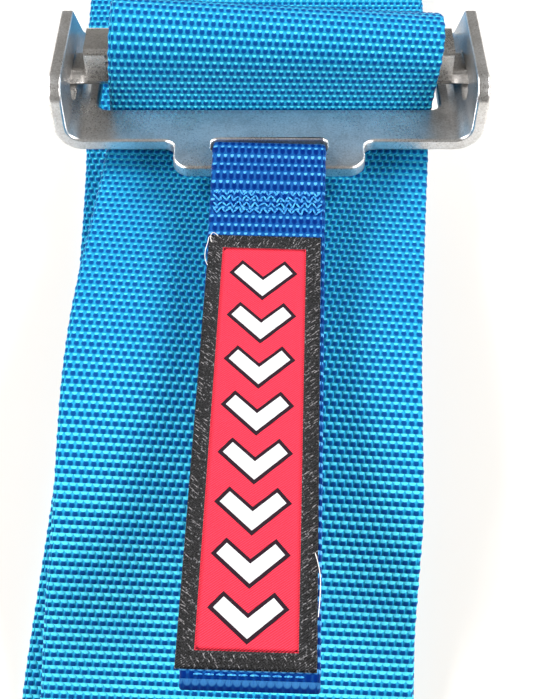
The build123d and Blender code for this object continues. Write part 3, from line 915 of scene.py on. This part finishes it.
def flat_shapes(name, outlines, low, high, material):
    """Raised flat shapes on the label, from closed outlines of (run, side)."""
    inset = 0.12  # by which the top is smaller
    vertices, uvs, faces = [], [], []
    for outline in outlines:
        count = len(outline)
        centre = (sum(p[0] for p in outline) / count, sum(p[1] for p in outline) / count)
        base = len(vertices)
        for up, pull in ((low, 0.0), (low + (high - low) * 0.6, 0.0), (high, inset)):
            for run, side in outline:
                away = Vector((run - centre[0], side - centre[1]))
                shrink = 1 - pull / max(away.length, 1)
                a, b = centre[0] + away.x * shrink, centre[1] + away.y * shrink
                vertices.append(label_point(a, b, up))
                uvs.append((b + 20, a))
        for level in range(2):
            for i in range(count):
                j = (i + 1) % count
                a = base + level * count
                faces.append((a + i, a + j, a + count + j, a + count + i))
        faces.append(tuple(base + i for i in reversed(range(count))))
        faces.append(tuple(base + 2 * count + i for i in range(count)))
    return make_object(name, vertices, faces, material, uvs, smooth=False)


def build_label():
    """The label's black ground, red field and a plain row of white chevrons with dark rims."""
    thick = LABEL_THICK
    backing = label_slab("label_ground", 0, LABEL_LENGTH, LABEL_WIDTH, 0.0, thick, label_black)
    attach(backing, "tab")
    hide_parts("label_backing")
    field = label_slab(
        "label_red_field",
        BORDER,
        LABEL_LENGTH - BORDER,
        LABEL_WIDTH - 2 * BORDER,
        thick - 0.1,
        thick + 0.08,
        label_red,
    )
    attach(field, "tab")
    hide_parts("label_field")
    first = (LABEL_LENGTH - CHEVRON_PITCH * (CHEVRON_COUNT - 1)) / 2 - 1.6
    places = [first + i * CHEVRON_PITCH for i in range(CHEVRON_COUNT)]
    dark = [chevron_outline(run, CHEVRON_WIDTH, CHEVRON_RISE, stroke=2.1, cap=1.15) for run in places]
    white = [chevron_outline(run, CHEVRON_WIDTH, CHEVRON_RISE, stroke=1.35, cap=0.35) for run in places]
    rim = flat_shapes("label_chevron_rims", dark, thick + 0.02, thick + 0.16, label_dark)
    motif = flat_shapes("label_chevron_row", white, thick + 0.05, thick + 0.3, label_white)
    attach(rim, "tab")
    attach(motif, "tab")
    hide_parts("label_chevrons")
    build_label_stitching()
    build_fray()


def build_label_stitching():
    """Slanted overlock stitches all round the label's border, a few of them pale: painted glints."""
    up = tuple(TAB_UP)
    half = LABEL_WIDTH / 2
    lanes = ((0.25, 1.25), (1.0, 2.0), (1.8, 2.85))  # start and end of a stitch, in from the edge
    step = 0.66
    # the pale stitches are painted glints on the black overlock thread
    pale_share = 0.24
    dark_runs, pale_runs = [], []

    def add(a, b):
        start = label_point(*a, LABEL_THICK + 0.02)
        end = label_point(*b, LABEL_THICK + 0.02)
        (pale_runs if rng.random() < pale_share else dark_runs).append((start, end, up))

    for lane in lanes:
        for i in range(int((LABEL_LENGTH - 1.6) / step)):
            for sign in (-1, 1):
                run = 0.4 + i * step + rng.uniform(-0.2, 0.2)
                slant = rng.uniform(0.5, 1.0)
                outer, inner = (half - edge + rng.uniform(-0.15, 0.15) for edge in lane)
                add((run, sign * outer), (run + slant, sign * inner))
        for i in range(int((LABEL_WIDTH - 6) / step)):
            for start_run, sign in ((0.0, 1), (LABEL_LENGTH, -1)):
                side = -half + 3 + i * step + rng.uniform(-0.2, 0.2)
                outer, inner = (start_run + sign * edge for edge in lane)
                add((outer, side + rng.uniform(0.4, 0.8)), (inner, side))
    dark = stitches("label_edge_thread", dark_runs, 0.34, thread_black, rise=0.3)
    pale = stitches("label_glint_thread", pale_runs, 0.2, thread_grey, rise=0.8)
    for piece in (dark, pale):
        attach(piece, "tab")
    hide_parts("label_stitching")


def thread_curve(name, points, thickness, material, body):
    """A loose thread end as a thin curve through points."""
    curve = bpy.data.curves.new(name, "CURVE")
    curve.dimensions = "3D"
    curve.bevel_depth = thickness / 2 * MM
    curve.bevel_resolution = 2
    curve.use_fill_caps = True
    spline = curve.splines.new("NURBS")
    spline.points.add(len(points) - 1)
    for target, point in zip(spline.points, points):
        target.co = (*(Vector(point) * MM), 1)
    spline.order_u = 3
    spline.use_endpoint_u = True
    curve.materials.append(material)
    piece = bpy.data.objects.new(name, curve)
    bpy.context.scene.collection.objects.link(piece)
    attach(piece, body)
    return piece


def build_fray():
    """Loose ends where the label's edge is worn, as (run, side, up) on the label."""
    half = LABEL_WIDTH / 2
    routes = [
        [
            (1.0, -half + 0.8, 0.1),
            (0.3, -half + 0.1, 0.3),
            (2.2, -half - 0.1, 0.25),
            (4.2, -half - 0.6, 0.1),
            (6.6, -half - 0.5, 0.0),
            (7.8, -half + 0.2, 0.1),
        ],
        [
            (0.4, -half + 2.0, 0.1),
            (-0.6, -half + 1.0, 0.3),
            (0.8, -half + 0.2, 0.5),
            (2.2, -half + 0.7, 0.3),
        ],
        [
            (70.0, half - 0.6, 0.1),
            (73.0, half + 0.4, 0.2),
            (78.0, half + 0.5, 0.0),
            (82.0, half + 0.1, -0.2),
        ],
    ]
    for i, route in enumerate(routes):
        points = [label_point(run, side, LABEL_THICK + up) for run, side, up in route]
        piece = thread_curve(f"label_fray_{i}", points, 0.15, thread_pale, "tab")


def build_tab_end_stitching():
    """One row of stitches across the tab's end."""
    run = TAB_LENGTH - 2.4
    half_seam = TAB_WIDTH * 0.4
    up = tuple(TAB_UP)
    start = on_tab(run, -half_seam, TAB_TOP + 0.1)
    end = on_tab(run, half_seam, TAB_TOP + 0.1)
    seam = stitches("tab_end_thread", stitch_line(start, end, up, 2.0), TACK_THREAD, thread_tack)
    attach(seam, "tab")
    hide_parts("tab_end_stitching")


# ======================= steel parts =======================
WELD_REACH = 0.01  # distance within which the CAD mesh's points are joined
STAMPED_EDGE = 0.6  # rounding of a stamped plate's edges


def finish_steel(node, material, bevel=None):
    """A plated finish for a CAD steel part, with rounded stamped edges if bevel is given."""
    piece = frame["nodes"][node]
    piece.data.materials.clear()
    piece.data.materials.append(material)
    weld = piece.modifiers.new("weld", "WELD")
    weld.merge_threshold = WELD_REACH * MM
    if bevel:
        flats = piece.modifiers.new("flats", "DECIMATE")
        flats.decimate_type = "DISSOLVE"
        flats.angle_limit = math.radians(1.5)
        rounding = piece.modifiers.new("bevel", "BEVEL")
        rounding.width = bevel * MM
        rounding.segments = 3
        rounding.limit_method = "ANGLE"
        rounding.angle_limit = math.radians(40)
        rounding.use_clamp_overlap = False
        shading = piece.modifiers.new("shading", "WEIGHTED_NORMAL")
        shading.weight = 100
    else:
        split = piece.modifiers.new("split", "EDGE_SPLIT")
        split.split_angle = math.radians(30)
    for polygon in piece.data.polygons:
        polygon.use_smooth = True


# ======================= stage =======================
def build_stage():
    """A pale floor that fills the view, and a dim warm sky for the steel to reflect."""
    size = 6000
    corners = [(-size, -size, 0), (size, -size, 0), (size, size, 0), (-size, size, 0)]
    n = Nodes("floor")
    n.set(Base_Color=(0.68, 0.665, 0.64, 1), Roughness=0.75)
    n.set(Emission_Color=(1.0, 0.97, 0.92, 1), Emission_Strength=0.07)
    floor = make_object("floor", corners, [(0, 1, 2, 3)], n.material)
    world = bpy.data.worlds.new("studio")
    world.use_nodes = True
    background = world.node_tree.nodes["Background"]
    background.inputs["Color"].default_value = (0.13, 0.121, 0.108, 1)
    background.inputs["Strength"].default_value = 1.0
    bpy.context.scene.world = world


def area_light(name, place, aim, size, power, color=(1, 1, 1)):
    """A round soft lamp, placed and aimed in millimetres."""
    lamp = bpy.data.lights.new(name, "AREA")
    lamp.shape = "DISK"
    lamp.size = size * MM
    lamp.energy = power
    lamp.color = color
    holder = bpy.data.objects.new(name, lamp)
    holder.location = Vector(place) * MM
    holder.rotation_euler = (Vector(aim) - Vector(place)).to_track_quat("-Z", "Y").to_euler()
    bpy.context.scene.collection.objects.link(holder)


def build_camera():
    """A close camera, 70 degrees up, that looks at the tab from the belt's near end."""
    aim = SLOT + Vector((-0.6, -62.39, 5.33))
    elevation = math.radians(70)
    distance = 242.0
    place = aim + distance * Vector((0, -math.cos(elevation), math.sin(elevation)))
    data = bpy.data.cameras.new("camera")
    data.sensor_fit = "VERTICAL"
    data.angle = math.radians(34.2)
    data.clip_start = 0.01
    camera = bpy.data.objects.new("camera", data)
    camera.location = place * MM
    camera.rotation_euler = (aim - place).to_track_quat("-Z", "Y").to_euler()
    bpy.context.scene.collection.objects.link(camera)
    bpy.context.scene.camera = camera


build_camera()
build_stage()
LAMP_SIZE = 420
area_light("far_left", (-620, 330, 520), (0, -30, 10), LAMP_SIZE, 7.8)
area_light("far_right", (620, 330, 520), (0, -30, 10), LAMP_SIZE, 7.8)
area_light("left", (-700, -330, 560), (0, -40, 0), LAMP_SIZE, 8.6, (1, 0.98, 0.96))
area_light("right", (700, -330, 560), (0, -40, 0), LAMP_SIZE, 8.4, (1, 0.98, 0.96))
bpy.context.scene.view_settings.view_transform = "Standard"

build_long_web()
build_hem_stitching()
build_under_web()
build_short_web()
build_tab()
build_bartack()
build_label()
build_tab_end_stitching()
finish_steel("adjuster_frame", steel, STAMPED_EDGE)
finish_steel("friction_bar", bar_steel)
finish_steel("latch_tongue", steel, STAMPED_EDGE)
finish_steel("anchor_bracket", steel, STAMPED_EDGE)
